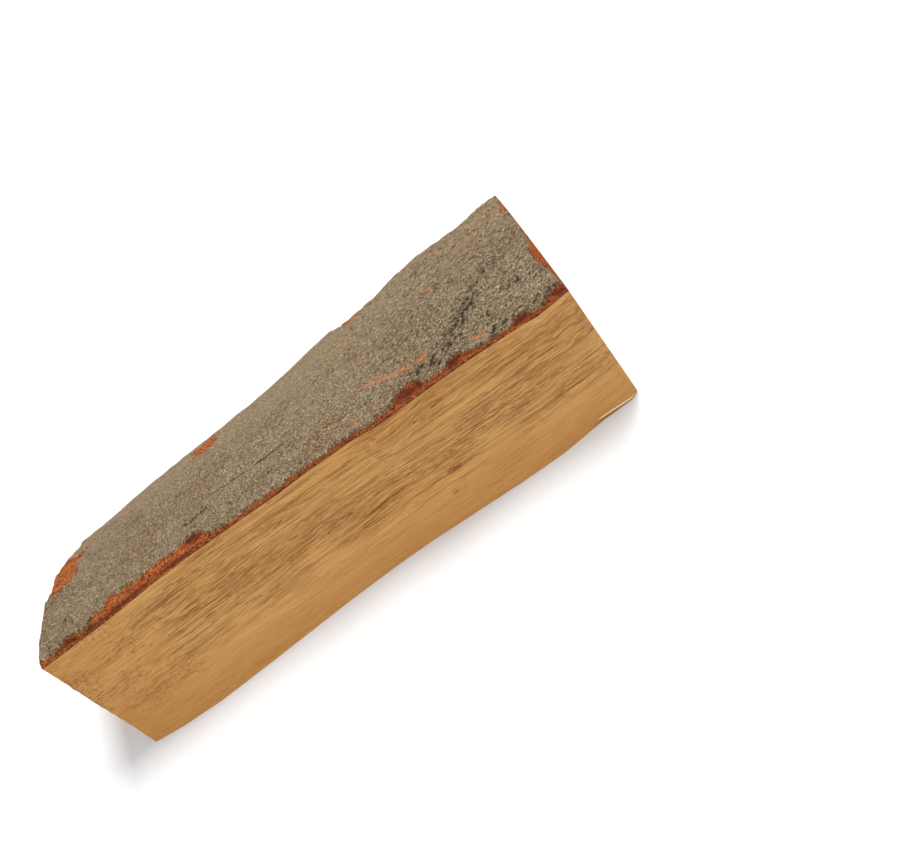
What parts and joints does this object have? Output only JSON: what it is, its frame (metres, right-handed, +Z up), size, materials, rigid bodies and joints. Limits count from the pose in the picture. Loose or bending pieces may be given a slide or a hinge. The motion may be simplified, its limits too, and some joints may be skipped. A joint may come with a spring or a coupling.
{
  "type": "split log",
  "caption": "Split billet of firewood with flat riven faces, sawn ends and rough grey bark on its round side, torn back along the ridge.",
  "frame": {"origin": "middle of the log's footprint, on the surface it lies on", "axes": "+X along the grain from the broken-cornered end to the square-sawn end, +Y from the front split face towards the bark, +Z up"},
  "size_m": [0.33, 0.1406, 0.104],
  "materials": {
    "split_wood": "dry riven wood, matt, tan with fine dark grain lines",
    "bark": "dry rough bark, matt, grey-brown with orange inner bark at its torn edges"
  },
  "bodies": {
    "root": {"wood": "split_wood", "bark": "bark"}
  },
  "joints": []
}
